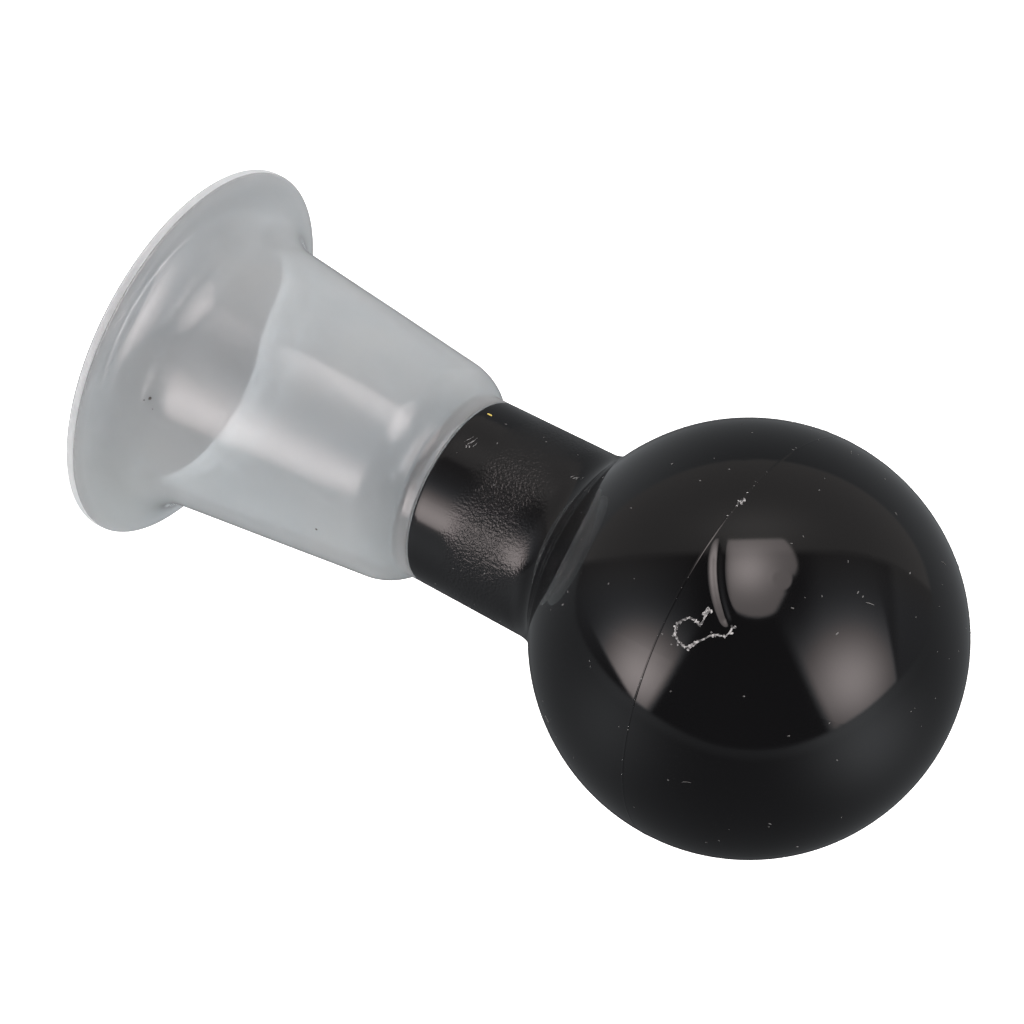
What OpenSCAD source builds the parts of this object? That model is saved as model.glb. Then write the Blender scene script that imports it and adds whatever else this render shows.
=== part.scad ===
// Squeeze bulb with a wide flared cup. A hollow rubber ball with a tubular neck is pushed
// over the barbed spigot of a translucent plastic cup. Pressing the ball blows a puff of
// air out of the cup, and letting it go draws air back or holds the cup on a smooth face.
//
// Everything is a body of revolution about Z. The object stands on the cup's rim: the origin
// is the centre of the rim's flat face, and +Z runs through the neck to the ball.
// Outlines are drawn as [radius, height]. All sizes are in millimetres.

/* [Bulb] */
// Outside diameter of the ball
ball_d = 44; // [42:0.5:50]
// Wall thickness of the ball
ball_wall = 2; // [1.2:0.1:3]
// Distance from the open end of the neck to the centre of the ball
neck_reach = 34.8; // [33:0.1:42]
// Outside diameter of the neck where it runs into the ball
neck_root_d = 20.6; // [19.5:0.1:24]
// Outside diameter of the neck at its open end
neck_end_d = 20.2; // [19:0.1:23]
// Bore of the neck
neck_bore_d = 16; // [14:0.1:17]
// Rounding between the neck and the ball
neck_fillet_r = 4.7; // [1:0.1:6]
// Chamfer around the open end of the neck, inside and outside
neck_chamfer = 0.4; // [0.1:0.1:0.8]

/* [Cup] */
// Height from the rim to the seat that the neck is pushed against
cup_h = 35.4; // [32:0.1:39]
// Wall thickness of the cone
cup_wall = 1.4; // [1:0.1:2]
// Outside diameter of the cone where it would meet the back of the flange
cone_d = 30.6; // [30:0.1:32]
// Slope of the cone's wall away from the axis, in degrees
cone_slope = 6.2; // [2:0.1:7]
// Radius of the round shoulder between the cone and the collar
shoulder_r = 5.8; // [4:0.1:5.9]
// Distance from the seat down to the centre of the shoulder's rounding
shoulder_drop = 6.3; // [6:0.1:8]
// Outside diameter of the collar under the seat
collar_d = 20.2; // [18.5:0.1:21.5]

/* [Flange] */
// Outside diameter of the flange
flange_d = 40.9; // [40.6:0.1:50]
// Thickness of the flange at its edge
flange_t = 1.2; // [1:0.1:2]
// Slope of the back of the flange, in degrees
flange_slope = 16; // [15:0.5:18]
// Rounding of the flange's edge
flange_edge_r = 0.4; // [0.1:0.1:0.45]
// Rounding between the back of the flange and the cone
flare_r = 7.2; // [3:0.1:7.4]
// Rounding of the mouth, where the rim's flat face turns into the cup
mouth_r = 5.5; // [2:0.1:6]

/* [Spigot] */
// Length of the spigot inside the neck
spigot_len = 12; // [8:0.5:13]
// Bore of the spigot, which joins the cup to the bulb
spigot_bore_d = 12; // [8:0.1:12.5]
// Number of barb rings along the spigot
barb_count = 3; // [1:1:5]
// Height of the barbs above the spigot's wall
barb_h = 0.5; // [0.2:0.05:0.6]
// Radial clearance between the barbs and the bore of the neck
fit_clearance = 0.05; // [0.02:0.01:0.1]

/* [Hidden] */
$fn = 96;

// Bulb
ball_r = ball_d / 2;
neck_root_r = neck_root_d / 2;
neck_end_r = neck_end_d / 2;
neck_bore_r = neck_bore_d / 2;
ball_z = cup_h + neck_reach;
fillet_centre_r = neck_root_r + neck_fillet_r;
fillet_drop = sqrt(pow(ball_r + neck_fillet_r, 2) - pow(fillet_centre_r, 2));
fillet_centre = [fillet_centre_r, ball_z - fillet_drop];
fillet_end_angle = 90 + atan2(fillet_centre_r, fillet_drop);

// Cup: cone and shoulder
cone_tan = tan(cone_slope);
cone_normal = [cos(cone_slope), sin(cone_slope)];
shoulder_z = cup_h - shoulder_drop;
shoulder_tangent_z = shoulder_z + shoulder_r * sin(cone_slope);
shoulder_centre = [cone_radius(shoulder_tangent_z) - shoulder_r * cos(cone_slope), shoulder_z];
collar_r = collar_d / 2;
collar_angle = acos((collar_r - shoulder_centre[0]) / shoulder_r);

// Cup: flange, with the centre of the flare from its distance to the cone and to the flange
flange_r = flange_d / 2;
flange_tan = tan(flange_slope);
flare_reach = cone_radius(0) + flare_r / cos(cone_slope);
flare_rise = flange_t + flange_r * flange_tan + flare_r / cos(flange_slope);
flare_centre_r = (flare_reach - flare_rise * cone_tan) / (1 - cone_tan * flange_tan);
flare_centre = [flare_centre_r, flare_rise - flare_centre_r * flange_tan];
mouth_centre = [cone_radius(mouth_r) + (mouth_r - cup_wall) / cos(cone_slope), mouth_r];

// Spigot
spigot_bore_r = spigot_bore_d / 2;
spigot_top = cup_h + spigot_len;
barb_r = neck_bore_r - fit_clearance;
barb_pitch = spigot_len / barb_count;
barb_land = [0.65, 0.85];

// Outside radius of the cone at a height
function cone_radius(height) = cone_d / 2 + (flange_t - height) * cone_tan;

// Points along an arc, from one angle to another
function arc(centre, radius, from, to, steps = 12) = [
    for (i = [0:steps])
        let (angle = from + (to - from) * i / steps)
            centre + radius * [cos(angle), sin(angle)]
];

// Outside of the cup, from the seat down to the rim's flat face
function cup_outside() = concat(
    [[collar_r, cup_h]],
    arc(shoulder_centre, shoulder_r, collar_angle, cone_slope),
    arc(flare_centre, flare_r, 180 + cone_slope, 270 - flange_slope),
    arc([flange_r - flange_edge_r, flange_t - flange_edge_r], flange_edge_r, 90 - flange_slope, 0, 4),
    arc([flange_r - flange_edge_r, flange_edge_r], flange_edge_r, 0, -90, 4)
);

// Inside of the cup, from the mouth up to the end of the spigot's bore
function cup_inside() = concat(
    arc(mouth_centre, mouth_r, 270, 180 + cone_slope, 8),
    arc(shoulder_centre, shoulder_r - cup_wall, cone_slope, 90, 10),
    [[spigot_bore_r, shoulder_z + shoulder_r - cup_wall]],
    [[spigot_bore_r, spigot_top]]
);

// Outside of the spigot, from its tip down to the seat. Each barb widens towards the seat.
function spigot_outside() = [
    for (ring = [0:barb_count - 1])
        let (top = spigot_top - ring * barb_pitch)
            each [
                [barb_r - barb_h, top],
                [barb_r, top - barb_land[0] * barb_pitch],
                [barb_r, top - barb_land[1] * barb_pitch],
                [barb_r - barb_h, top - barb_land[1] * barb_pitch]
            ]
];

// Outline of the neck and the rounding that carries it into the ball
module neck_outline() {
    polygon(concat(
        [[0, cup_h]],
        [[neck_end_r - neck_chamfer, cup_h]],
        [[neck_end_r, cup_h + neck_chamfer]],
        arc(fillet_centre, neck_fillet_r, 180, fillet_end_angle, 10),
        [[0, ball_z]]
    ));
}

// Half section of the whole bulb
module bulb_section() {
    difference() {
        union() {
            translate([0, ball_z]) circle(r = ball_r);
            neck_outline();
        }
        translate([0, ball_z]) circle(r = ball_r - ball_wall);
        translate([0, cup_h - 1]) square([neck_bore_r, neck_reach]);
        polygon([
            [0, cup_h - 1],
            [neck_bore_r + neck_chamfer + 1, cup_h - 1],
            [neck_bore_r, cup_h + neck_chamfer],
            [0, cup_h + neck_chamfer]
        ]);
    }
}

// The bulb between two heights, turned about the axis
module bulb_slice(bottom, top) {
    rotate_extrude() intersection() {
        bulb_section();
        translate([0, bottom]) square([ball_r + 1, top - bottom]);
    }
}

// Flared cup with its flange, collar and barbed spigot, one moulding
module flared_cup() {
    color([0.80, 0.83, 0.85, 0.75])
        rotate_extrude()
            polygon(concat(
                cup_outside(),
                cup_inside(),
                spigot_outside(),
                [[barb_r - barb_h, cup_h]]
            ));
}

// Neck and front half of the ball, up to the seam around the ball's middle
module bulb_neck_half() {
    color([0.09, 0.09, 0.10])
        bulb_slice(cup_h, ball_z);
}

// Rear half of the ball, which a thumb presses in
module bulb_crown_half() {
    color([0.12, 0.12, 0.13])
        bulb_slice(ball_z, ball_z + ball_r);
}

flared_cup();
bulb_neck_half();
bulb_crown_half();
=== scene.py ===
"""Squeeze bulb with a flared cup: the looks, the stage, the light and the camera.

Everything is in metres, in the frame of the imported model: the cup stands on its rim at
z = 0 and +Z runs through the neck to the ball. Angles round the axis are measured from the
side that faces the camera, -Y, and grow towards +X. Latitudes on the ball are measured
from its seam and grow towards the crown.
"""
import math
import random

import bpy
import numpy as np
from mathutils import Matrix, Vector, noise


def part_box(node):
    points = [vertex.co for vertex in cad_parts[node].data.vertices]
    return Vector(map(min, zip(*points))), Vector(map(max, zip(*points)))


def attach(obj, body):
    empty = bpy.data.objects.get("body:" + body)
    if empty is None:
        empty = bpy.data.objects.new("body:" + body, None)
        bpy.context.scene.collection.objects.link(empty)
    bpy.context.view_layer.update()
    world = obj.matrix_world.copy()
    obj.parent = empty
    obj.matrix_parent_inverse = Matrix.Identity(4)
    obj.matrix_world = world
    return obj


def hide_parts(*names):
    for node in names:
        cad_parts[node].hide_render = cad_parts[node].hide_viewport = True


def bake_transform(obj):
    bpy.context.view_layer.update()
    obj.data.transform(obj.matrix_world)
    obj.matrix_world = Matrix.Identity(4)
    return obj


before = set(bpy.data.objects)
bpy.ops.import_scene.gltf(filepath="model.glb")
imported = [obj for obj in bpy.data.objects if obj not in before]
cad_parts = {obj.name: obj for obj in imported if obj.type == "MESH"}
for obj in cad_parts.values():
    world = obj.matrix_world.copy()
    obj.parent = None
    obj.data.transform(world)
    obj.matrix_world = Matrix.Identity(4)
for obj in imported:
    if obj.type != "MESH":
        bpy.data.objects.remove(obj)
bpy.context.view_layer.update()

MM = 0.001

# ---------------------------------------------------------------- sizes from the frame
bulb_low, bulb_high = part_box("bulb_neck_half")
cup_low, cup_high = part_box("flared_cup")
BALL_R = bulb_high[0]
BALL_Z = bulb_high[2]
SEAT_Z = bulb_low[2]
FLANGE_R = cup_high[0]
SPIGOT_TOP = cup_high[2]

# ---------------------------------------------------------------- sizes of the two pieces
BALL_WALL = 2.0 * MM
NECK_END_R = 10.1 * MM
NECK_ROOT_R = 10.3 * MM
NECK_BORE_R = 8.0 * MM
NECK_FILLET_R = 4.7 * MM
NECK_EDGE_R = 0.35 * MM
# Height below the middle of the ball where the neck's satin skin ends
SATIN_DROP = 20.2 * MM

CUP_WALL = 1.4 * MM
CONE_R = 15.3 * MM
CONE_SLOPE = 6.2
SHOULDER_R = 5.8 * MM
SHOULDER_DROP = 6.3 * MM
COLLAR_R = 10.1 * MM
FLANGE_T = 1.2 * MM
FLANGE_SLOPE = 16.0
FLANGE_EDGE_R = 0.4 * MM
FLARE_R = 7.2 * MM
MOUTH_R = 5.5 * MM
SPIGOT_BORE_R = 6.0 * MM
BARB_R = 7.95 * MM
BARB_H = 0.5 * MM
BARB_COUNT = 3

# ---------------------------------------------------------------- marks on the ball
# Places are (angle round the axis, latitude) in degrees.
# The scar is a hook: a stub, most of a circle, and a tail that runs back past the stub.
SCAR_STUB = (-1, 9)
SCAR_CENTRE = (5.5, 7)
SCAR_RADIUS = 3.5
SCAR_TURN = (150, 385)
SCAR_TAIL = ((3, 13), (2, 16), (-1, 16.5))
SCAR_WIDTH = 0.30 * MM
# The crease is a shallow bow from one place to the other.
CREASE_ENDS = ((-20, 1.5), (-0.5, 15.5))
CREASE_SAG = 1.5
CREASE_DEPTH = 0.13 * MM
CREASE_WIDTH = 0.45 * MM
DIMPLE = (-18.5, 21)
DIMPLE_DEPTH = 0.008 * MM
DIMPLE_WIDTH = 0.95 * MM
SEAM_HEIGHT = 0.018 * MM
SEAM_WIDTH = 0.07 * MM
BALL_WAVE_HEIGHT = 0.02 * MM
BALL_WAVE_SIZE = 9 * MM
SEAM_CLUMP = -31
# Groups of scratches on the neck: angle round the axis, height and length in degrees.
SCUFFS = ((-29, 37.4 * MM, 7), (-37.5, 49.2 * MM, 4))
# Yellow fleck on the neck: angle round the axis, lowest height, length and width.
FLECK_ANGLE = -53
FLECK_BOTTOM = 36.4 * MM
FLECK_LENGTH = 0.55 * MM
FLECK_WIDTH = 0.26 * MM

# ---------------------------------------------------------------- cup: waves, bow and specks
CUP_WAVE_HEIGHT = 0.02 * MM
CUP_WAVE_SIZE = 8 * MM
# Specks in the plastic: angle round the axis, height and size.
CUP_SPECKS = (
    (24, 5.7 * MM, 0.20 * MM),
    (25.5, 5.2 * MM, 0.09 * MM),
    (54, 26 * MM, 0.13 * MM),
    (28, 6.2 * MM, 0.07 * MM),
)
# The bow's place is an angle round the axis and a height, and it reaches this far from there.
BOW_PLACE = (-25, 19 * MM)
BOW_REACH = (32, 16 * MM)
BOW_HEIGHT = 0.35 * MM

# ---------------------------------------------------------------- camera
CAMERA_ELEVATION = 23.67
CAMERA_ROLL = 117.24
CAMERA_DISTANCE = 650 * MM
BALL_RIGHT_OF_CENTRE = 23.53 * MM
BALL_BELOW_CENTRE = 12.58 * MM
LENS = 230.0

# ---------------------------------------------------------------- room and lamps
# Middle and half widths of the room's opening on the studio chart, in degrees.
ROOM_CENTRE = (2, 25)
ROOM_HALF = (108, 83)
FAR = 1e6
FILL_POWER = 4.2
FILL_DISTANCE = 0.8


def camera_axes():
    """Right, up and towards-the-camera directions of the main view, in the model's frame."""
    elevation, roll = math.radians(CAMERA_ELEVATION), math.radians(CAMERA_ROLL)
    level = Vector((1, 0, 0))
    rise = Vector((0, math.sin(elevation), math.cos(elevation)))
    right = level * math.cos(roll) + rise * math.sin(roll)
    up = rise * math.cos(roll) - level * math.sin(roll)
    return right, up, right.cross(up)


def make_camera():
    """The main view, with the ball below and to the right of the middle."""
    right, up, back = camera_axes()
    data = bpy.data.cameras.new("camera")
    data.sensor_width = 36.0
    data.lens = LENS
    data.clip_start, data.clip_end = 0.01, 10.0
    camera = bpy.data.objects.new("camera", data)
    place = Vector((0, 0, BALL_Z)) + back * CAMERA_DISTANCE
    place += up * BALL_BELOW_CENTRE - right * BALL_RIGHT_OF_CENTRE
    camera.matrix_world = Matrix.Translation(place) @ Matrix((right, up, back)).transposed().to_4x4()
    bpy.context.collection.objects.link(camera)
    bpy.context.scene.camera = camera


# ---------------------------------------------------------------- shader values
class Value:
    """A number in a node tree. Arithmetic on it adds Math nodes."""

    def __init__(self, tree, socket):
        self.tree = tree
        self.socket = socket

    def math(self, operation, *others):
        node = self.tree.nodes.new("ShaderNodeMath")
        node.operation = operation
        for slot, item in zip(node.inputs, (self, *others)):
            plug(self.tree, slot, item)
        return Value(self.tree, node.outputs[0])

    def __add__(self, other):
        return self.math("ADD", other)

    def __sub__(self, other):
        return self.math("SUBTRACT", other)

    def __mul__(self, other):
        return self.math("MULTIPLY", other)

    def __truediv__(self, other):
        return self.math("DIVIDE", other)

    def step(self, low, high, start=0.0, end=1.0):
        """start below low, end above high, and a smooth change between them."""
        node = self.tree.nodes.new("ShaderNodeMapRange")
        node.interpolation_type = "SMOOTHSTEP"
        for name, item in (
            ("Value", self), ("From Min", low), ("From Max", high), ("To Min", start), ("To Max", end),
        ):
            plug(self.tree, node.inputs[name], item)
        return Value(self.tree, node.outputs["Result"])


def plug(tree, slot, item):
    """Feeds a socket from a Value, another socket or a plain number."""
    if isinstance(item, Value):
        tree.links.new(item.socket, slot)
    elif isinstance(item, bpy.types.NodeSocket):
        tree.links.new(item, slot)
    else:
        slot.default_value = item


def blob(x, y, centre, spread):
    """A soft round patch of height 1 on a chart with axes x and y."""
    u = (x - centre[0]) / spread[0]
    v = (y - centre[1]) / spread[1]
    return (u * u + v * v).math("MULTIPLY", -0.5).math("EXPONENT")


def blank_tree(owner):
    owner.use_nodes = True
    tree = owner.node_tree
    tree.nodes.clear()
    return tree


def mix_colour(tree, share, first, second):
    node = tree.nodes.new("ShaderNodeMix")
    node.data_type = "RGBA"
    plug(tree, node.inputs[0], share)
    plug(tree, node.inputs[6], first)
    plug(tree, node.inputs[7], second)
    return node.outputs[2]


# ---------------------------------------------------------------- studio
def studio_chart(tree):
    """Chart of the directions round the object, in degrees from the main camera's side.

    x grows to the camera's right and y upwards, and the distance from the middle is the
    angle from the direction to the camera.
    """
    coords = tree.nodes.new("ShaderNodeTexCoord")
    parts = []
    for axis in camera_axes():
        dot = tree.nodes.new("ShaderNodeVectorMath")
        dot.operation = "DOT_PRODUCT"
        tree.links.new(coords.outputs["Generated"], dot.inputs[0])
        dot.inputs[1].default_value = axis
        parts.append(Value(tree, dot.outputs["Value"]))
    right, up, back = parts
    angle = back.math("MINIMUM", 0.9999).math("MAXIMUM", -0.9999).math("ARCCOSINE")
    degrees = angle * math.degrees(1) / angle.math("SINE")
    return right * degrees, up * degrees


def beyond(x, y, first, second, low, high):
    """0 on the right of the line from first to second, 1 on its left, and smooth from low to high."""
    run, rise = second[0] - first[0], second[1] - first[1]
    length = math.hypot(run, rise)
    across = (y - first[1]) * (run / length) - (x - first[0]) * (rise / length)
    return across.step(low, high)


def oval(x, y, centre, half):
    """Squared distance from a centre, 1 on an ellipse with those half widths."""
    u = (x - centre[0]) / half[0]
    v = (y - centre[1]) / half[1]
    return u * u + v * v


def top_softbox(x, y):
    """Rounded box over the object, flat at the top, narrow at the bottom and dim at the left."""
    shape = oval(x, y, (2, 36), (22, 24)).step(0.9, 1.12, 1.0, 0.0)
    shape *= y.step(52.5, 55, 1.0, 0.0) * x.step(-20, -9, 0.4, 1.0)
    shape *= beyond(x, y, (10, 11), (27, 43), -1.5, 1.5)
    return shape * (blob(x, y, (-2, 37), (8.5, 8.5)) * 3.1 + 1.6)


def left_softbox(x, y):
    """Box at the lower left, cut off along the table and along its right side."""
    shape = beyond(x, y, (-64, -34), (-91, 6), 1.5, -1.5)
    shape *= beyond(x, y, (-55, -38), (-39, -12), -3, 4)
    return shape * blob(x, y, (-60, -18), (14, 15)) * 4.9


def right_softbox(x, y):
    """Box at the lower right, cut off along its upright side and along its left side."""
    shape = beyond(x, y, (81, -23), (76, 0), -1.5, 1.5)
    shape *= beyond(x, y, (40, -45), (23, -12), 3, -5)
    return shape * blob(x, y, (52, -21), (16, 17)) * 4.3


def make_world():
    """The room round the object: a dark room with a pale upper wall, on a grey table."""
    world = bpy.data.worlds.new("studio")
    bpy.context.scene.world = world
    tree = blank_tree(world)
    x, y = studio_chart(tree)

    rim = oval(x, y, ROOM_CENTRE, ROOM_HALF)
    corner = oval(x, y, ROOM_CENTRE, (ROOM_HALF[0], FAR)) * oval(x, y, ROOM_CENTRE, (FAR, ROOM_HALF[1]))
    rim += corner * y.step(0, 50, 0.6, 0.0)
    inside = rim.step(0.95, 1.02, 1.0, 0.0)
    table_edge = rim.step(1.0, 1.03) * rim.step(1.05, 1.22, 1.0, 0.0) * y.step(-60, 10, 0.10, 0.0)

    drop = (x - 50.0).math("MAXIMUM", 0.0)
    height = y + drop * drop * 0.0055
    room = height.step(44, 49) * 0.33 + 0.03
    wings = x.math("ABSOLUTE").step(22, 38) * height.step(45, 47.5, 1.0, 0.0)
    room += blob(x, y, (-70, 24), (24, 22)) * wings * 0.30
    room += blob(x, y, (54, 18), (22, 24)) * wings * 0.26
    room += x.step(76, 84) * height.step(44, 48, 0.16, 0.0)
    room += blob(x, y, (2, 60), (19, 9)) * 0.34
    room += blob(x, y, (-20, -30), (26, 26)) * 0.02
    boxes = top_softbox(x, y) + left_softbox(x, y) + right_softbox(x, y)

    ground = y.step(-70, 70) * 0.11 + x.math("ABSOLUTE").step(10, 110) * 0.06 + 0.075
    ground += blob(x, y, (-76, -44), (19, 22)) * 0.30
    ground += blob(x, y, (62, -52), (21, 20)) * 0.65
    ground += blob(x, y, (-90, 100), (40, 40)) * 0.12
    ground *= oval(x, y, (0, 0), (165, 165)).step(0.94, 1.06, 1.0, 0.6)
    path = tree.nodes.new("ShaderNodeLightPath")
    outside = inside * -1.0 + 1.0
    light = (room + boxes) * inside + (ground + table_edge) * outside
    tint = mix_colour(tree, height.step(20, 50), (0.93, 0.96, 1.02, 1), (1.03, 0.98, 0.95, 1))
    tint = mix_colour(tree, boxes.step(0.0, 1.5), tint, (1.09, 0.97, 0.955, 1))
    tint = mix_colour(tree, inside, (0.95, 0.99, 1.03, 1), tint)

    seen = tree.nodes.new("ShaderNodeBackground")
    seen.inputs["Color"].default_value = (1, 1, 1, 1)
    lit = tree.nodes.new("ShaderNodeBackground")
    tree.links.new(tint, lit.inputs["Color"])
    plug(tree, lit.inputs["Strength"], light)
    mix = tree.nodes.new("ShaderNodeMixShader")
    tree.links.new(path.outputs["Is Camera Ray"], mix.inputs[0])
    tree.links.new(lit.outputs[0], mix.inputs[1])
    tree.links.new(seen.outputs[0], mix.inputs[2])
    out = tree.nodes.new("ShaderNodeOutputWorld")
    tree.links.new(mix.outputs[0], out.inputs["Surface"])


def make_fill():
    """Broad soft lamps round the object that fill matte surfaces and show in no reflection."""
    right, up, _ = camera_axes()
    axis = Vector((0, 0, 1))
    # Direction from the object, share of the power, and diameter
    lamps = (
        (up, 0.9, 0.8),
        (-right, 0.4, 0.8),
        (right + up * 0.4, 0.35, 0.8),
        (-up - right * 0.3, 1.35, 0.8),
        (axis, 1.45, 1.6),
        (-axis, 1.0, 0.8),
    )
    for number, (way, share, size) in enumerate(lamps):
        data = bpy.data.lights.new(f"fill_{number}", "AREA")
        data.shape = "DISK"
        data.size = size
        data.energy = FILL_POWER * share
        lamp = bpy.data.objects.new(f"fill_{number}", data)
        way = way.normalized()
        turn = way.to_track_quat("Z", "Y").to_matrix().to_4x4()
        lamp.matrix_world = Matrix.Translation(way * FILL_DISTANCE) @ turn
        lamp.visible_camera = False
        lamp.visible_glossy = False
        lamp.visible_transmission = False
        bpy.context.collection.objects.link(lamp)


def make_floor():
    """A pale sheet under the rim. The object is lit as if it weren't there."""
    half = 4.0
    data = bpy.data.meshes.new("floor")
    corners = [(-half, -half, 0), (half, -half, 0), (half, half, 0), (-half, half, 0)]
    data.from_pydata(corners, [], [(0, 1, 2, 3)])
    floor = bpy.data.objects.new("floor", data)
    bpy.context.collection.objects.link(floor)
    material = bpy.data.materials.new("floor_paper")
    tree = blank_tree(material)
    paper = tree.nodes.new("ShaderNodeBsdfPrincipled")
    paper.inputs["Base Color"].default_value = (0.9, 0.9, 0.9, 1)
    paper.inputs["Roughness"].default_value = 0.9
    paper.inputs["Specular IOR Level"].default_value = 0.0
    paper.inputs["Emission Color"].default_value = (1, 1, 1, 1)
    paper.inputs["Emission Strength"].default_value = 0.8
    out = tree.nodes.new("ShaderNodeOutputMaterial")
    tree.links.new(paper.outputs[0], out.inputs["Surface"])
    data.materials.append(material)
    floor.visible_diffuse = False
    floor.visible_glossy = False
    floor.visible_transmission = False
    floor.visible_shadow = False


# ---------------------------------------------------------------- materials
def object_coords(tree):
    """Object coordinates of the shaded point, as a vector socket and its three parts in mm."""
    coords = tree.nodes.new("ShaderNodeTexCoord")
    split = tree.nodes.new("ShaderNodeSeparateXYZ")
    tree.links.new(coords.outputs["Object"], split.inputs[0])
    parts = [Value(tree, split.outputs[i]) * (1 / MM) for i in range(3)]
    return coords.outputs["Object"], parts


def grain(tree, coords, size, detail=2.0, roughness=0.5):
    """Noise between 0 and 1 with grains about size metres across."""
    node = tree.nodes.new("ShaderNodeTexNoise")
    node.inputs["Scale"].default_value = 1 / size
    node.inputs["Detail"].default_value = detail
    node.inputs["Roughness"].default_value = roughness
    tree.links.new(coords, node.inputs["Vector"])
    return Value(tree, node.outputs["Fac"])


def surface(name):
    """A new material with one Principled shader: the material, its tree and the shader."""
    material = bpy.data.materials.new(name)
    tree = blank_tree(material)
    shader = tree.nodes.new("ShaderNodeBsdfPrincipled")
    out = tree.nodes.new("ShaderNodeOutputMaterial")
    tree.links.new(shader.outputs[0], out.inputs["Surface"])
    return material, tree, shader


def bump(tree, shader, height, strength, distance):
    """Fine relief too small for the mesh. distance is in metres."""
    node = tree.nodes.new("ShaderNodeBump")
    node.inputs["Strength"].default_value = strength
    node.inputs["Distance"].default_value = distance
    plug(tree, node.inputs["Height"], height)
    tree.links.new(node.outputs["Normal"], shader.inputs["Normal"])


def rubber_material():
    """Black rubber: polished on the ball, satin and finely pebbled on the neck."""
    material, tree, shader = surface("black_rubber")
    coords, (_, _, z) = object_coords(tree)
    neck_end, junction = SEAT_Z / MM, (BALL_Z - SATIN_DROP) / MM
    neck = z.step(junction - 1.5, junction, 1.0, 0.0)
    pebbled = neck * z.step(neck_end + 3, neck_end + 7) * z.step(junction - 5, junction - 2, 1.0, 0.3)
    smear = grain(tree, coords, 9 * MM, 4)
    shader.inputs["Specular IOR Level"].default_value = 0.5
    colour = mix_colour(tree, neck, (0.0042, 0.0042, 0.0046, 1), (0.0060, 0.0060, 0.0066, 1))
    tree.links.new(colour, shader.inputs["Base Color"])
    rough = neck * 0.06 + pebbled * 0.11 + smear * 0.03 + 0.05
    plug(tree, shader.inputs["Roughness"], rough)
    pebble = grain(tree, coords, 0.26 * MM, 1.5).step(0.25, 0.75) * pebbled
    fine = grain(tree, coords, 0.5 * MM, 3) * 0.02
    bump(tree, shader, pebble + fine, 0.8, 0.05 * MM)
    return material


def bloom_material():
    """Chalky, broken flakes of flash and scuffed rubber."""
    material, tree, shader = surface("rubber_bloom")
    coords, _ = object_coords(tree)
    patch = grain(tree, coords, 0.3 * MM, 3).step(0.38, 0.62)
    colour = mix_colour(tree, patch, (0.05, 0.05, 0.052, 1), (0.50, 0.50, 0.50, 1))
    tree.links.new(colour, shader.inputs["Base Color"])
    plug(tree, shader.inputs["Roughness"], patch * 0.3 + 0.5)
    bump(tree, shader, grain(tree, coords, 0.12 * MM, 2), 0.4, 0.05 * MM)
    return material


def dust_material():
    """Pale lint and dust."""
    material, tree, shader = surface("grey_dust")
    coords, _ = object_coords(tree)
    patch = grain(tree, coords, 0.5 * MM, 2).step(0.3, 0.7)
    colour = mix_colour(tree, patch, (0.05, 0.05, 0.05, 1), (0.20, 0.20, 0.20, 1))
    tree.links.new(colour, shader.inputs["Base Color"])
    shader.inputs["Roughness"].default_value = 0.8
    return material


def brass_material():
    """A bright yellow fleck."""
    material, tree, shader = surface("yellow_fleck")
    coords, _ = object_coords(tree)
    patch = grain(tree, coords, 0.2 * MM, 2)
    colour = mix_colour(tree, patch, (0.75, 0.52, 0.04, 1), (0.95, 0.80, 0.25, 1))
    tree.links.new(colour, shader.inputs["Base Color"])
    shader.inputs["Roughness"].default_value = 0.4
    return material


def dark_speck_material():
    """A grain of dirt caught in the plastic."""
    material, tree, shader = surface("dark_speck")
    coords, _ = object_coords(tree)
    patch = grain(tree, coords, 0.3 * MM, 2)
    colour = mix_colour(tree, patch, (0.02, 0.018, 0.016, 1), (0.10, 0.09, 0.08, 1))
    tree.links.new(colour, shader.inputs["Base Color"])
    shader.inputs["Roughness"].default_value = 0.7
    return material


def cup_material():
    """Milky natural plastic: part of the light goes straight through, the rest is scattered."""
    material, tree, shader = surface("milky_plastic")
    coords, (x, y, z) = object_coords(tree)
    radius = (x * x + y * y).math("SQRT")
    edge = radius.step(FLANGE_R / MM - 0.07, FLANGE_R / MM - 0.03)
    cloud = grain(tree, coords, 12 * MM, 3)
    colour = mix_colour(tree, cloud.step(0.3, 0.7), (0.825, 0.87, 0.89, 1), (0.875, 0.915, 0.93, 1))
    tree.links.new(colour, shader.inputs["Base Color"])
    rough = grain(tree, coords, 4 * MM, 3) * 0.04 + edge * 0.3 + 0.05
    plug(tree, shader.inputs["Roughness"], rough)
    shader.inputs["IOR"].default_value = 1.5
    facing = tree.nodes.new("ShaderNodeLayerWeight")
    facing.inputs["Blend"].default_value = 0.35
    clear = Value(tree, facing.outputs["Facing"]) * -0.25 - edge * 0.22 + 0.80
    plug(tree, shader.inputs["Transmission Weight"], clear)
    shader.inputs["Subsurface Weight"].default_value = 1.0
    shader.inputs["Subsurface Radius"].default_value = (1.0, 1.0, 1.0)
    shader.inputs["Subsurface Scale"].default_value = 1.5 * MM
    bump(tree, shader, grain(tree, coords, 1.2 * MM, 2), 0.06, 0.05 * MM)
    return material


# ---------------------------------------------------------------- outlines
def arc(centre, radius, start, end, steps):
    """Points along an arc, from one angle in degrees to another."""
    turns = [math.radians(start + (end - start) * i / steps) for i in range(steps + 1)]
    return [(centre[0] + radius * math.cos(t), centre[1] + radius * math.sin(t)) for t in turns]


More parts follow.
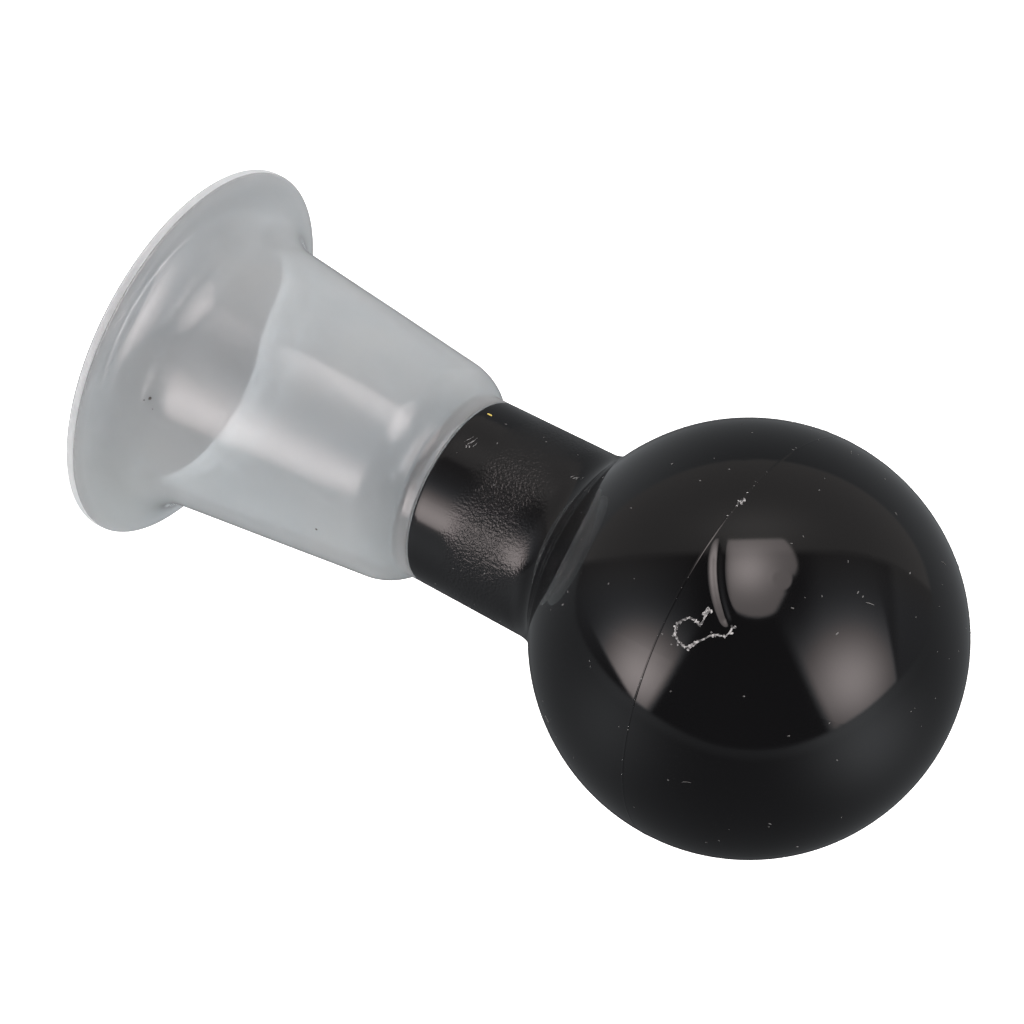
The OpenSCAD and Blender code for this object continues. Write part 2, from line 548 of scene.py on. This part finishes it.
def line(first, last, spacing):
    """Points between two points, ends left out, about spacing apart."""
    length = math.dist(first, last)
    count = max(1, round(length / spacing))
    return [
        tuple(a + (b - a) * i / count for a, b in zip(first, last)) for i in range(1, count)
    ]


def joined(*stretches, spacing):
    """One outline from stretches of points, with straight gaps filled at that spacing."""
    points = list(stretches[0])
    for stretch in stretches[1:]:
        points += line(points[-1], stretch[0], spacing)
        points += stretch
    return points


def cone_radius(height):
    """Outside radius of the cone at a height."""
    return CONE_R + (FLANGE_T - height) * math.tan(math.radians(CONE_SLOPE))


def flare_centre():
    """Centre of the rounding between the cone and the back of the flange, as (radius, height)."""
    slope, back = math.radians(CONE_SLOPE), math.radians(FLANGE_SLOPE)
    reach = cone_radius(0) + FLARE_R / math.cos(slope)
    rise = FLANGE_T + FLANGE_R * math.tan(back) + FLARE_R / math.cos(back)
    radius = (reach - rise * math.tan(slope)) / (1 - math.tan(slope) * math.tan(back))
    return radius, rise - radius * math.tan(back)


def cup_outline():
    """Closed half section of the cup, from the seat round the rim to the spigot and back."""
    slope = math.radians(CONE_SLOPE)
    shoulder_z = SEAT_Z - SHOULDER_DROP
    tangent_z = shoulder_z + SHOULDER_R * math.sin(slope)
    shoulder = (cone_radius(tangent_z) - SHOULDER_R * math.cos(slope), shoulder_z)
    collar_angle = math.degrees(math.acos((COLLAR_R - shoulder[0]) / SHOULDER_R))

    mouth = (cone_radius(MOUTH_R) + (MOUTH_R - CUP_WALL) / math.cos(slope), MOUTH_R)
    rim = FLANGE_R - FLANGE_EDGE_R
    ceiling = shoulder_z + SHOULDER_R - CUP_WALL
    fine = 0.15 * MM

    outside = joined(
        arc((COLLAR_R - fine, SEAT_Z - fine), fine, 90, 0, 3),
        arc(shoulder, SHOULDER_R, collar_angle, CONE_SLOPE, 20),
        arc(flare_centre(), FLARE_R, 180 + CONE_SLOPE, 270 - FLANGE_SLOPE, 20),
        arc((rim, FLANGE_T - FLANGE_EDGE_R), FLANGE_EDGE_R, 90 - FLANGE_SLOPE, 0, 5),
        arc((rim, FLANGE_EDGE_R), FLANGE_EDGE_R, 0, -90, 5),
        arc(mouth, MOUTH_R, 270, 180 + CONE_SLOPE, 12),
        arc(shoulder, SHOULDER_R - CUP_WALL, CONE_SLOPE, 90, 14),
        arc((SPIGOT_BORE_R + fine, ceiling + fine), fine, 270, 180, 3),
        arc((SPIGOT_BORE_R + fine, SPIGOT_TOP - fine), fine, 180, 90, 3),
        spacing=0.8 * MM,
    )
    pitch = (SPIGOT_TOP - SEAT_Z) / BARB_COUNT
    root = BARB_R - BARB_H
    barbs = []
    for ring in range(BARB_COUNT):
        top = SPIGOT_TOP - ring * pitch
        barbs += [(root, top), (BARB_R, top - 0.65 * pitch)]
        barbs += [(BARB_R, top - 0.85 * pitch), (root, top - 0.85 * pitch - fine)]
    return outside + barbs + [(root, SEAT_Z)]


def bulb_outline():
    """Half section of the bulb from the crown down its outside, and up its inside to the crown."""
    fillet = neck_fillet()
    fillet_end = 90 + math.degrees(math.atan2(fillet[0], BALL_Z - fillet[1]))
    ball_end = fillet_end - 180
    inner_r = BALL_R - BALL_WALL
    bore_angle = -math.degrees(math.acos(NECK_BORE_R / inner_r))
    ball = (0, BALL_Z)
    edge = NECK_EDGE_R
    outside = joined(
        arc(ball, BALL_R, 90, 28, 46),
        arc(ball, BALL_R, 27.6, 1.2, 74),
        arc(ball, BALL_R, 0.9, -0.9, 24),
        arc(ball, BALL_R, -1.4, ball_end, 50),
        arc(fillet, NECK_FILLET_R, fillet_end, 180, 24)[1:],
        arc((NECK_END_R - edge, SEAT_Z + edge), edge, 0, -90, 5),
        arc((NECK_BORE_R + edge, SEAT_Z + edge), edge, 270, 180, 4),
        spacing=0.5 * MM,
    )
    inside = joined(
        [outside[-1]],
        arc(ball, inner_r, bore_angle, 90, 48),
        spacing=2.0 * MM,
    )
    return outside, inside[1:]


# ---------------------------------------------------------------- meshes
def revolve(name, outline, angles, closed, shape=None):
    """Turns an outline of (radius, height) about Z.

    shape(angle, place) gives how far each point moves out of the surface.
    """
    points = np.array(outline)
    ahead = np.roll(points, -1, 0) - points
    behind = points - np.roll(points, 1, 0)
    if not closed:
        ahead[-1], behind[0] = behind[-1], ahead[0]
    along = ahead / np.linalg.norm(ahead, axis=1)[:, None]
    along = along + behind / np.linalg.norm(behind, axis=1)[:, None]
    normals = np.stack([-along[:, 1], along[:, 0]], 1)
    normals /= np.maximum(np.linalg.norm(normals, axis=1), 1e-12)[:, None]
    rows = len(points)
    turn = np.radians(np.array(angles))
    around = np.stack([np.sin(turn), -np.cos(turn)], 1)
    place = np.empty((rows, len(turn), 3))
    place[:, :, :2] = points[:, None, :1] * around[None]
    place[:, :, 2] = points[:, 1:]
    if shape is not None:
        push = shape(np.array(angles)[None, :] + 0 * points[:, :1], place)
        place[:, :, :2] += push[:, :, None] * normals[:, None, :1] * around[None]
        place[:, :, 2] += push * normals[:, 1:]
    verts, index = [], np.empty((rows, len(turn)), int)
    for i in range(rows):
        if points[i, 0] < 1e-9:
            index[i] = len(verts)
            verts.append(place[i].mean(0))
        else:
            index[i] = np.arange(len(verts), len(verts) + len(turn))
            verts.extend(place[i])
    faces = []
    for i in range(rows if closed else rows - 1):
        j = (i + 1) % rows
        for k in range(len(turn)):
            m = (k + 1) % len(turn)
            corner = [index[i, k], index[j, k], index[j, m], index[i, m]]
            face = [int(c) for n, c in enumerate(corner) if c != corner[n - 1]]
            if len(face) > 2:
                faces.append(face)
    data = bpy.data.meshes.new(name)
    data.from_pydata([tuple(v) for v in verts], [], faces)
    data.validate()
    data.shade_smooth()
    made = bpy.data.objects.new(name, data)
    bpy.context.collection.objects.link(made)
    return made


def even_angles(count):
    return [360.0 * i / count for i in range(count)]


def ball_angles():
    """Angles round the ball, closer together where the mould marks are."""
    near = np.arange(-44.0, 14.0, 0.36)
    far = np.linspace(14.0, 316.0, 132)[:-1]
    return list(near) + list(far)


def crease_path():
    """Places along the crease, bowed to one side of the straight line between its ends."""
    first, last = (np.array(end, float) for end in CREASE_ENDS)
    run = last - first
    side = np.array([run[1], -run[0]]) / np.hypot(*run)
    return [first + run * t + side * CREASE_SAG * 4 * t * (1 - t) for t in np.linspace(0, 1, 11)]


def track(path):
    """A path of (angle, latitude) on the ball as distances from its origin along both, in metres."""
    return np.radians(np.array(path)) * BALL_R


def distance_to(path, across, along):
    """Distance from each point to a path, and how far along the path it is, from 0 to 1."""
    nearest = np.full(across.shape, 1.0)
    share = np.zeros(across.shape)
    spots = track(path)
    for i in range(len(spots) - 1):
        start, run = spots[i], spots[i + 1] - spots[i]
        t = ((across - start[0]) * run[0] + (along - start[1]) * run[1]) / (run @ run)
        t = np.clip(t, 0, 1)
        gap = np.hypot(across - start[0] - t * run[0], along - start[1] - t * run[1])
        closer = gap < nearest
        nearest = np.where(closer, gap, nearest)
        share = np.where(closer, (i + t) / (len(spots) - 1), share)
    return nearest, share


def bell(distance, width):
    return np.exp(-((distance / width) ** 2))


def ball_marks(angle, place):
    """Height of the seam, the crease, the dimple and the gentle waves of the ball's skin."""
    signed = (angle + 180) % 360 - 180
    height = place[:, :, 2] - BALL_Z
    radius = np.hypot(place[:, :, 0], place[:, :, 1])
    reach = np.hypot(radius, height)
    latitude = np.degrees(np.arctan2(height, radius))
    across = np.radians(signed) * BALL_R
    along = np.radians(latitude) * BALL_R
    skin = (reach > BALL_R - 0.5 * MM) & (latitude > -56)

    wave = np.array([
        [noise.noise(Vector(spot) / BALL_WAVE_SIZE) for spot in row] for row in place
    ])
    push = wave * BALL_WAVE_HEIGHT
    push += SEAM_HEIGHT * bell(along, SEAM_WIDTH)
    gap, share = distance_to(crease_path(), across, along)
    fade = np.clip(share / 0.25, 0, 1) * np.clip((1.02 - share) / 0.1, 0, 1)
    push -= CREASE_DEPTH * fade * bell(gap, CREASE_WIDTH)
    centre = track([DIMPLE])[0]
    gap = np.hypot(across - centre[0], along - centre[1])
    push += DIMPLE_DEPTH * (0.6 * bell(gap - DIMPLE_WIDTH, 0.3 * DIMPLE_WIDTH) - bell(gap, DIMPLE_WIDTH))
    return push * skin


def cup_waves(angle, place):
    """Slight unevenness of the moulding and a bow in one side of the cone.

    There is none at the rim's flat face and none inside the neck.
    """
    wave = np.array([[noise.noise(Vector(spot) / CUP_WAVE_SIZE) for spot in row] for row in place])
    height = place[:, :, 2]
    free = np.clip(height / (3 * MM), 0, 1) * (height < SEAT_Z - 2 * MM)
    signed = (angle + 180) % 360 - 180
    along = (height - BOW_PLACE[1]) / BOW_REACH[1]
    bow = np.clip(1 - along**2, 0, 1) ** 2 * bell(signed - BOW_PLACE[0], BOW_REACH[0])
    return (wave * CUP_WAVE_HEIGHT + bow * BOW_HEIGHT) * free


def on_ball(angle, latitude, lift=0.0):
    """A point of the ball's skin and the direction straight out of it."""
    turn, rise = math.radians(angle), math.radians(latitude)
    out = Vector((math.sin(turn) * math.cos(rise), -math.cos(turn) * math.cos(rise), math.sin(rise)))
    return Vector((0, 0, BALL_Z)) + out * (BALL_R + lift), out


def neck_fillet():
    """Centre of the rounding between the neck and the ball, as (radius, height)."""
    centre_r = NECK_ROOT_R + NECK_FILLET_R
    return centre_r, BALL_Z - math.sqrt((BALL_R + NECK_FILLET_R) ** 2 - centre_r**2)


def neck_radius(height):
    """Outside radius of the neck at a height, and of the rounding above it."""
    centre_r, centre_z = neck_fillet()
    if height > centre_z:
        return centre_r - math.sqrt(max(0.0, NECK_FILLET_R**2 - (height - centre_z) ** 2))
    share = (height - SEAT_Z) / (centre_z - SEAT_Z)
    return NECK_END_R + (NECK_ROOT_R - NECK_END_R) * share


def on_neck(angle, height, lift=0.0):
    """A point of the neck's side at a height above the rim, and the direction straight out of it."""
    turn = math.radians(angle)
    out = Vector((math.sin(turn), -math.cos(turn), 0))
    return out * (neck_radius(height) + lift) + Vector((0, 0, height)), out


def on_cone(angle, height):
    """A point of the outside of the cone or of the flare below it, and the direction out of it."""
    turn = math.radians(angle)
    out = Vector((math.sin(turn), -math.cos(turn), 0))
    centre_r, centre_z = flare_centre()
    radius = cone_radius(height)
    if height < centre_z:
        radius = centre_r - math.sqrt(FLARE_R**2 - (height - centre_z) ** 2)
    return out * radius + Vector((0, 0, height)), out


class Heap:
    """Many small closed shapes collected into one mesh."""

    def __init__(self, seed):
        self.verts = []
        self.faces = []
        self.dice = random.Random(seed)

    def rings(self, rings, first, last):
        """Closed shape from rings of points between two end points."""
        start = len(self.verts)
        count = len(rings[0])
        self.verts.append(tuple(first))
        for ring in rings:
            self.verts.extend(tuple(v) for v in ring)
        self.verts.append(tuple(last))
        end = len(self.verts) - 1
        for k in range(count):
            m = (k + 1) % count
            self.faces.append((start, start + 1 + m, start + 1 + k))
            base = end - count
            self.faces.append((end, base + k, base + m))
            for i in range(len(rings) - 1):
                low, high = start + 1 + i * count, start + 1 + (i + 1) * count
                self.faces.append((low + k, low + m, high + m, high + k))

    def flake(self, place, out, size, stretch=1.0, turn=None, thick=0.45):
        """An uneven lump lying on the surface."""
        dice = self.dice
        turn = dice.uniform(0, math.tau) if turn is None else turn
        side = out.orthogonal().normalized()
        side.rotate(Matrix.Rotation(turn, 3, out))
        other = out.cross(side)
        rings = []
        for level in (-0.6, 0.0, 0.6):
            reach = math.sqrt(1 - level**2)
            ring = []
            for k in range(7):
                t = math.tau * k / 7
                uneven = size * reach * dice.uniform(0.7, 1.2)
                spot = side * (math.cos(t) * uneven * stretch) + other * (math.sin(t) * uneven)
                ring.append(place + spot + out * (level * size * thick))
            rings.append(ring)
        self.rings(rings, place - out * (size * thick), place + out * (size * thick))

    def strand(self, spots, width, rough=0.3, flat=0.6):
        """A thin uneven strand through spots, each a point and the direction out of the surface."""
        rings = []
        for i, (place, out) in enumerate(spots):
            ahead = spots[min(i + 1, len(spots) - 1)][0] - spots[max(i - 1, 0)][0]
            side = out.cross(ahead).normalized()
            end = min(i, len(spots) - 1 - i) / 2
            half = width / 2 * min(1.0, 0.4 + end) * self.dice.uniform(1 - rough, 1 + rough)
            ring = []
            for k in range(6):
                t = math.tau * k / 6
                ring.append(place + side * (half * math.cos(t)) + out * (half * flat * math.sin(t)))
            rings.append(ring)
        self.rings(rings, spots[0][0], spots[-1][0])

    def piece(self, name, material):
        data = bpy.data.meshes.new(name)
        data.from_pydata(self.verts, [], self.faces)
        data.validate()
        data.shade_smooth()
        data.materials.append(material)
        made = bpy.data.objects.new(name, data)
        bpy.context.collection.objects.link(made)
        return made


def smooth_path(path, per_gap):
    """Points on a smooth curve through a path, per_gap to each of its stretches."""
    spots = [Vector(spot) for spot in path]
    ends = [spots[0] * 2 - spots[1], *spots, spots[-1] * 2 - spots[-2]]
    curve = []
    for a, b, c, d in zip(ends, ends[1:], ends[2:], ends[3:]):
        for i in range(per_gap):
            t = i / per_gap
            square = (a * 2 - b * 5 + c * 4 - d) * t**2
            cube = (b * 3 - a - c * 3 + d) * t**3
            curve.append(((b * 2) + (c - a) * t + square + cube) / 2)
    return curve + [spots[-1]]


def make_scar(bloom):
    """A hook-shaped tear with chalky edges, beside the end of the crease."""
    heap = Heap(3)
    dice = heap.dice
    loop = arc(SCAR_CENTRE, SCAR_RADIUS, *SCAR_TURN, 7)
    hook = [SCAR_STUB, *loop, SCAR_TAIL[0]]
    for path, width, share in ((hook, SCAR_WIDTH, 0.4), (SCAR_TAIL, SCAR_WIDTH * 0.8, 0.3)):
        curve = [spot + Vector((dice.gauss(0, 0.1), dice.gauss(0, 0.1))) for spot in smooth_path(path, 6)]
        heap.strand([on_ball(*spot) for spot in curve], width * 0.7, rough=0.35)
        for spot in curve:
            if dice.random() < share:
                place, out = on_ball(spot[0] + dice.gauss(0, 0.25), spot[1] + dice.gauss(0, 0.25))
                heap.flake(place, out, width * dice.uniform(0.2, 0.45), dice.uniform(1.0, 1.8))
    for end, size in ((SCAR_STUB, 0.30), (loop[-1], 0.20), (SCAR_TAIL[0], 0.18), (SCAR_TAIL[-1], 0.18)):
        for _ in range(4):
            place, out = on_ball(end[0] + dice.gauss(0, 0.35), end[1] + dice.gauss(0, 0.35))
            heap.flake(place, out, size * MM * dice.uniform(0.5, 1.0), dice.uniform(1.0, 1.5))
    blend_ball(finished(heap.piece("ball_scar", bloom)))


def make_flash(bloom):
    """Crumbs of moulding flash left along the seam."""
    heap = Heap(7)
    dice = heap.dice
    for _ in range(11):
        place, out = on_ball(SEAM_CLUMP + dice.gauss(0, 1.1), dice.gauss(0.1, 0.4))
        heap.flake(place, out, dice.uniform(0.05, 0.15) * MM, dice.uniform(1.0, 2.2))
    for angle in np.arange(-44.0, -24.0, 0.8):
        if dice.random() < 0.55:
            place, out = on_ball(angle + dice.gauss(0, 0.2), dice.gauss(0, 0.12))
            heap.flake(place, out, dice.uniform(0.02, 0.06) * MM, dice.uniform(1.0, 2.5))
    for angle in np.arange(-22.0, 300.0, 1.9):
        if dice.random() < 0.4:
            place, out = on_ball(angle + dice.gauss(0, 0.6), dice.gauss(0, 0.1))
            heap.flake(place, out, dice.uniform(0.02, 0.05) * MM, dice.uniform(1.0, 2.0))
    blend_ball(finished(heap.piece("seam_flash", bloom)))


def make_dust(dust):
    """Dust and short lint all over the rubber, thin enough to feel like nothing."""
    heap = Heap(11)
    dice = heap.dice
    spots = []
    for _ in range(165):
        latitude = math.degrees(math.asin(dice.uniform(-0.8, 0.99)))
        spots.append(on_ball(dice.uniform(0, 360), latitude))
    for _ in range(40):
        spots.append(on_neck(dice.uniform(0, 360), SEAT_Z + dice.uniform(0.5, 13) * MM))
    for place, out in spots:
        size = dice.uniform(0.03, 0.075) * MM
        heap.flake(place, out, size * 1.2, dice.uniform(1.0, 2.5), thick=0.6)
    for _ in range(14):
        angle, latitude = dice.uniform(0, 360), math.degrees(math.asin(dice.uniform(-0.8, 0.95)))
        turn, bend = dice.uniform(0, math.tau), dice.uniform(-1.2, 1.2)
        lint = []
        for i in range(7):
            angle += 0.42 * math.cos(turn) / math.cos(math.radians(latitude))
            latitude += 0.42 * math.sin(turn)
            turn += bend / 7
            lint.append(on_ball(angle, min(latitude, 88.0), 0.01 * MM))
        heap.strand(lint, 0.07 * MM, rough=0.1, flat=1.0)
    blend_ball(finished(heap.piece("rubber_dust", dust)))


def make_neck_scuffs(bloom):
    """Two groups of short pale scratches on the neck, side by side in each group."""
    heap = Heap(5)
    dice = heap.dice
    for angle, height, length in SCUFFS:
        for number in range(4):
            first = angle + length * dice.uniform(0.1, 0.5)
            run = -length * dice.uniform(0.5, 0.9)
            low = height + ((number - 1.5) * 0.34 + dice.gauss(0, 0.08)) * MM
            slant = dice.uniform(0.1, 0.5) * MM
            spots = []
            for i in range(9):
                t = i / 8
                lie = low + slant * t + dice.gauss(0, 0.02) * MM
                spots.append(on_neck(first + run * t + dice.gauss(0, 0.1), lie, -0.01 * MM))
            heap.strand(spots, dice.uniform(0.04, 0.08) * MM, rough=0.4)
    angle, height, length = SCUFFS[0]
    for _ in range(4):
        place, out = on_neck(angle + length / 2 + dice.gauss(0, 1.0), height + dice.gauss(0, 0.3) * MM)
        heap.flake(place, out, dice.uniform(0.03, 0.08) * MM, dice.uniform(1.0, 2.0))
    made = finished(heap.piece("neck_scuffs", bloom))
    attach(made, "bulb")


def make_fleck():
    """A bright yellow fleck stuck on the neck, near its open end."""
    heap = Heap(2)
    spots = [on_neck(FLECK_ANGLE, FLECK_BOTTOM + FLECK_LENGTH * i / 5) for i in range(6)]
    heap.strand(spots, FLECK_WIDTH, rough=0.15, flat=0.5)
    made = finished(heap.piece("yellow_fleck", brass_material()))
    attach(made, "bulb")


def make_cup_specks():
    """Grains of dirt on the cone and the flare."""
    heap = Heap(4)
    for angle, height, size in CUP_SPECKS:
        place, out = on_cone(angle, height)
        heap.flake(place, out, size, 1.3, thick=0.4)
    made = finished(heap.piece("cup_specks", dark_speck_material()))
    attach(made, "cup")


def finished(piece):
    """The piece, returned as it is."""
    return piece


def make_cup():
    cup = revolve("cup_body", cup_outline(), even_angles(288), closed=True, shape=cup_waves)
    cup.data.materials.append(cup_material())
    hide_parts("flared_cup")
    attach(finished(cup), "cup")


def make_bulb(rubber):
    outside, inside = bulb_outline()
    bulb = revolve("rubber_bulb", outside + inside, ball_angles(), closed=False, shape=ball_marks)
    bulb.data.materials.append(rubber)
    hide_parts("bulb_neck_half", "bulb_crown_half")
    blend_ball(finished(bulb))


def blend_ball(piece):
    """Bakes the piece's placement into its mesh."""
    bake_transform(piece)


def clean_look():
    view = bpy.context.scene.view_settings
    view.view_transform = "Standard"
    view.look = "None"
    view.exposure = 0.0
    view.gamma = 1.0


make_camera()
make_world()
make_fill()
make_floor()
clean_look()
make_cup()
make_cup_specks()
make_bulb(rubber_material())
bloom = bloom_material()
make_scar(bloom)
make_flash(bloom)
make_neck_scuffs(bloom)
make_dust(dust_material())
make_fleck()
